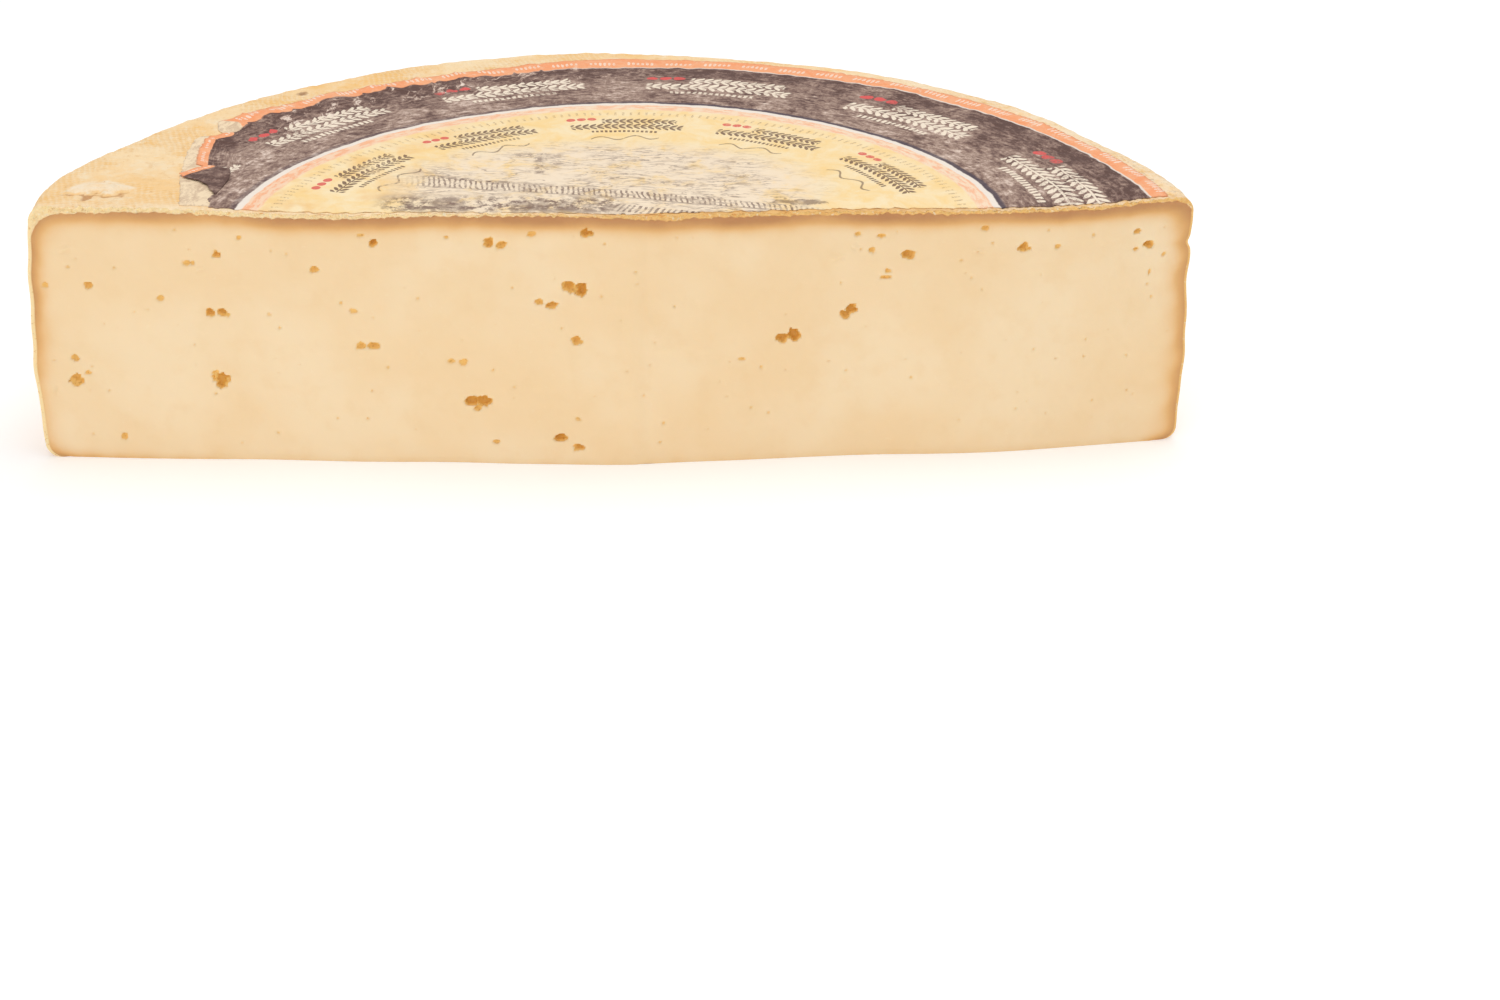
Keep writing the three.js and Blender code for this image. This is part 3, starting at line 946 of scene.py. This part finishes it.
def etching(across, back, place):
    """A worn etching of terraced hills and trees, as a mask, and the hills that it covers."""
    leaves = place.noise(3.4, 4, 0.75)
    shaky = (place.noise(5, 2) - 0.5) * 2
    hills = oval(across, back, (-5, 34), (70, 46)).ease(1.15, 0.5)
    pen = place.noise(2.6, 3, 0.6, stretch=(4, 1, 1), warp=0.5)
    pen = (pen - 0.5).maths("ABSOLUTE").ease(0.045, 0.015)
    strokes = place.noise(0.9, 4, 0.72, stretch=(6, 1, 1)).ease(0.54, 0.64)
    drawn = topmost(pen, strokes) * hills * place.noise(13, 3, 0.65).ease(0.34, 0.58)

    slope = back - 41 + (across + 66) * 0.172 + shaky * 0.5
    below = slope + 8 - (across + 66) * 0.028
    hatch = from_line(across + slope * 0.15 + shaky, 0.85).ease(0.46, 0.26)
    terrace = slope.ease(0.3, -0.1) * below.ease(-0.2, 0.2) * hatch
    hatch = from_line(across - slope * 0.3 + shaky, 0.9).ease(0.5, 0.3)
    second = within(slope, -18, -12) * hatch * across.ease(-30, 0)
    ledge = strokes * 0.6 + across.ease(10, -50) * leaves.ease(0.4, 0.55)
    ledge = within(slope, -0.4, 1.6, 0.9) * ledge
    terraces = topmost(terrace, second, ledge, within(below, -0.5, 0.4, 0.4) * 0.8)
    terraces *= within(across, -66, 58, 8) * (leaves.ease(0.34, 0.5) * 0.6 + 0.4)

    grove = ((back - 17).maths("ABSOLUTE") - 2).ease(9, 1) * within(across, -74, -2, 5)
    grove *= (leaves + place.noise(13, 2) * 0.5).ease(0.64, 0.78)
    leafy = leaves - 0.5
    bush = (oval(across, back, (-54, 18)).maths("SQRT") + leafy * 9).ease(6, 4)
    far_bush = (oval(across, back, (53, 24), (80**0.5, 5**0.5)) + leafy * 4).ease(1.2, 0.5)
    crown = (oval(across, back, (-31, 63), (70**0.5, 3)) + leafy * 7).ease(1.2, 0.5)
    trunk = within(across + leafy * 7 + (back - 50) * 0.1, -30, -27, 0.8) * within(back, 45, 61, 1)
    trees = topmost(topmost(crown, trunk) * leaves.ease(0.4, 0.54), bush, far_bush)
    kept = place.noise(4, 3, 0.7).ease(0.34, 0.56) * 0.5 + 0.5
    return topmost(drawn * 0.68, terraces * 0.9, grove, trees * 0.8) * kept, hills


MOTIF_PITCH = 30  # degrees round the label from one printed ornament to the next


def label_material():
    """Printed matt paper: orange rings, charcoal band, yellow centre with an etched landscape."""
    material, shader, place = new_material("label_print")
    across, back, _ = parts_of(place)
    ring = fact(place, "ring")
    bare = fact(place, "bare")
    turned = back.maths("ARCTAN2", across)
    fibre = place.noise(1.1, 3, 0.7)
    speck = place.noise(0.55, 2, 0.6)
    worn = place.noise(9, 5, 0.68, warp=0.6)
    rubbed = place.noise(22, 3, 0.6)
    smear = place.noise(5, 5, 0.75, stretch=(1, 1.8, 1), warp=0.8)
    shaky = ring + (place.noise(6, 3) - 0.5) * 1.2 + (fibre - 0.5) * 0.5

    half_pitch = math.radians(MOTIF_PITCH / 2)
    band_along = (math.radians(79) - turned).maths("WRAP", half_pitch, -half_pitch) * 143
    wavering = (worn - 0.5) * 3
    motif, berries = ornament(band_along + wavering, ring - 141 + wavering * 0.5, 1)
    kept = (fibre * 0.7 + rubbed * 0.9).ease(0.6, 0.8) * 0.7 + 0.3
    grain = place.noise(1.7, 5, 0.8)
    laid = place.node("ShaderNodeCombineXYZ", {}, {0: ring, 1: turned * 140})
    streak = laid.noise(1.7, 4, 0.7, stretch=(1, 4, 1))
    wear = (grain - 0.5) * 1.3 + (streak - 0.5) * 1.2 + (worn - 0.5) * 1.1 + (rubbed - 0.5) * 0.7
    scuffed = across.ease(20, -70) * across.ease(-126, -114) * ring.ease(140, 150) * 0.5 + 0.1
    wear = wear + smear.ease(0.53, 0.62) * scuffed + ring.ease(162, 132) * 0.24 + 0.09
    band = wear.node("ShaderNodeValToRGB", {"stops": [
        (0, paint(96, 68, 60)), (0.2, paint(136, 108, 97)), (0.42, paint(174, 146, 130)),
        (0.62, paint(214, 189, 174)), (0.85, paint(243, 225, 209)),
    ]}, {0: wear})
    border = shaky.ease(BAND_RING + 2.4, BAND_RING + 1.4) * (across.ease(-60, 30) * 0.45 + 0.4)
    band = layered(band, [
        (motif * kept, (250, 234, 212)),
        (berries * kept, (228, 92, 88)),
        (border, (72, 62, 76)),
    ])

    stain = across.ease(-30, -100) * place.noise(13, 3).ease(0.46, 0.66)
    drawing, hills = etching(across, back, place)
    centre_along = (math.radians(92) - turned).maths("WRAP", half_pitch, -half_pitch) * 92
    small_motif, small_berries = ornament(centre_along, ring - 95.2, 0.7)
    whole = within(turned, math.radians(14), math.radians(170), 0.01)
    flourish = ring - 83 - (centre_along * 0.5).maths("SINE") * 1.7 - centre_along * 0.06
    flourish = flourish.maths("ABSOLUTE").ease(0.6, 0.25) * within(centre_along, -13, 12)
    fading = (fibre + rubbed * 0.6).ease(0.5, 0.78) * whole
    dash = from_line(turned * 106, 1.3).ease(0.5, 0.28)
    dashes = dash * within(ring, 105.7, 108.5) * speck.ease(0.4, 0.55)
    centre = layered(paint(255, 219, 152), [
        (worn.ease(0.3, 0.7), (255, 234, 192)),
        (stain * 0.5, (243, 188, 112)),
        (hills * worn.ease(0.22, 0.52) * 0.8, (250, 231, 208)),
        (drawing * 0.85, (106, 74, 68)),
        (topmost(small_motif, flourish * 0.8) * fading * 0.85, (100, 68, 58)),
        (small_berries * fading * 0.9, (228, 96, 88)),
        (dashes * 0.5, (150, 112, 82)),
    ])

    orange = layered(paint(252, 160, 106), [
        (worn.ease(0.3, 0.75), (253, 184, 138)),
        (grain.ease(0.5, 0.66) * 0.4, (254, 208, 172)),
    ])
    inner = layered(orange, [
        (streak.ease(0.42, 0.56) * 0.6 + across.ease(-110, -20) * 0.2 + 0.2, (254, 226, 196)),
        (shaky.ease(CENTRE_RING + 1.4, CENTRE_RING - 0.4) * 0.6, (255, 230, 190)),
    ])
    group = (turned * 168).maths("WRAP", 7, -7)
    bead = (group / 1.7).maths("FRACT") * 1.7 - 0.85
    bead_out = shaky - 168.2
    beads = (bead * bead * 3.2 + bead_out * bead_out * 0.4).ease(1.15, 0.7)
    outer = layered(orange, [
        (beads * within(group, -5.4, 4.8) * speck.ease(0.34, 0.5) * 0.85, (254, 232, 212)),
        (smear.ease(0.58, 0.7) * 0.6, (251, 218, 188)),
    ])
    pulp = layered(paint(250, 226, 190), [
        (smear.ease(0.44, 0.6) * 0.7, (206, 176, 146)),
        (fibre.ease(0.56, 0.7) * 0.4, (186, 150, 120)),
    ])
    white = paint(247, 235, 222)
    edge_line = within(shaky, ORANGE_RING - 0.5, ORANGE_RING + 0.25) * across.ease(-60, 0)

    colour = centre
    rings = [(CENTRE_RING, inner), (WHITE_RING, white), (BAND_RING, band), (ORANGE_RING, outer)]
    for starts_at, printed in rings:
        colour = shaky.ease(starts_at - 0.3, starts_at + 0.3).blend(colour, printed)
    colour = (edge_line * 0.85).blend(colour, white)
    colour = (bare + (fibre - 0.5) * 0.4).ease(0.4, 0.6).blend(colour, pulp)
    feed(shader, "Base Color", colour)
    feed(shader, "Roughness", fibre * 0.2 + 0.55)
    feed(shader, "Normal", bumped(fibre * 0.12 + worn * 0.4 + smear * 0.15))
    settle(shader, {"Specular IOR Level": 0.3})
    return material


def paper_piece(name, points, faces, facts):
    """A sheet of the label with its thickness, its print and its place on the wheel."""
    piece = mesh_object(name, points, faces)
    add_facts(piece, facts)
    piece.data.materials.append(label_print)
    thickness = piece.modifiers.new("paper", "SOLIDIFY")
    thickness.thickness = PAPER * MM
    thickness.offset = 0
    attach(piece, "root")
    return piece


rind_tree = BVHTree.FromPolygons((cheese_points * MM).tolist(), paste_faces + rind_faces)
label_print = label_material()
points, faces = build_label()
label = paper_piece("paper_label_sheet", points, faces, print_facts(points[:, :2]))
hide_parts("paper_label")

points, faces = build_strip(BACKING_LEFT, BACKING_RIGHT, (0.12, 0.02), 61)
backing_facts = {"ring": np.full(len(points), 140), "bare": np.ones(len(points))}
paper_piece("label_backing", points, faces, backing_facts)

points, faces = build_strip(FLAP_LEFT, FLAP_RIGHT, (0.75, 0.55), 63)
flap_ring = np.maximum(border_ring(points[:, :2], FLAP_BORDER, 3), ORANGE_RING - 2.5)
paper_piece("label_flap", points, faces, {"ring": flap_ring, "bare": np.zeros(len(points))})


# THE TABLE, THE LIGHT AND THE CAMERA
# A plain pale table top under a white ceiling, with two large soft lamps over the cheese, and
# the cheese seen from a little above, as a buyer across the counter sees it.

FLOOR_HALF = 40  # metres from the middle to each side
corners = [(-1, -1), (1, -1), (1, 1), (-1, 1)]
corners = [(x * FLOOR_HALF, y * FLOOR_HALF, 0) for x, y in corners]
floor_mesh = bpy.data.meshes.new("floor")
floor_mesh.from_pydata(corners, [], [(0, 1, 2, 3)])
floor = bpy.data.objects.new("floor", floor_mesh)
floor_material = bpy.data.materials.new("pale_floor")
floor_material.use_nodes = True
settle(floor_material.node_tree.nodes["Principled BSDF"], {
    "Base Color": (0.95, 0.95, 0.95, 1), "Roughness": 0.9,
    "Emission Color": (1, 1, 1, 1), "Emission Strength": 0.2,
})
floor_mesh.materials.append(floor_material)
bpy.context.scene.collection.objects.link(floor)

world = bpy.data.worlds.new("studio")
world.use_nodes = True
settle(world.node_tree.nodes["Background"], {"Color": (1, 1, 1, 1), "Strength": 0.55})
bpy.context.scene.world = world


def soft_lamp(name, place, aim, size, power):
    """A square soft box that shines from place towards aim."""
    lamp = bpy.data.lights.new(name, "AREA")
    lamp.size = size
    lamp.energy = power
    made = bpy.data.objects.new(name, lamp)
    made.location = place
    way = np.array(aim) - np.array(place)
    made.rotation_mode = "QUATERNION"
    made.rotation_quaternion = Vector(way).to_track_quat("-Z", "Y")
    bpy.context.scene.collection.objects.link(made)


soft_lamp("front_lamp", (-0.5, -1.5, 1.1), (0, 0, 0.04), 1.2, 7.2)
soft_lamp("top_lamp", (0.2, 0.3, 1.7), (0, 0, 0.05), 1.4, 12)

CAMERA_SIDE = 39.9  # to the right of the wheel's axis
CAMERA_BACK = 677.3  # in front of it
CAMERA_OVER = 255.8  # above the wheel's top
CAMERA_PITCH = 27.12
CAMERA_ROLL = 0.89
camera_data = bpy.data.cameras.new("camera")
camera_data.sensor_width = 36
camera_data.lens = 57.6
camera = bpy.data.objects.new("camera", camera_data)
camera.location = (
    AXIS[0] + CAMERA_SIDE * MM,
    AXIS[1] - CAMERA_BACK * MM,
    (WHEEL_HEIGHT + CAMERA_OVER) * MM,
)
camera.rotation_mode = "ZXY"  # rolled first, then tipped down
camera.rotation_euler = (math.radians(90 - CAMERA_PITCH), 0, math.radians(CAMERA_ROLL))
bpy.context.scene.collection.objects.link(camera)
bpy.context.scene.camera = camera
bpy.context.scene.view_settings.view_transform = "Standard"
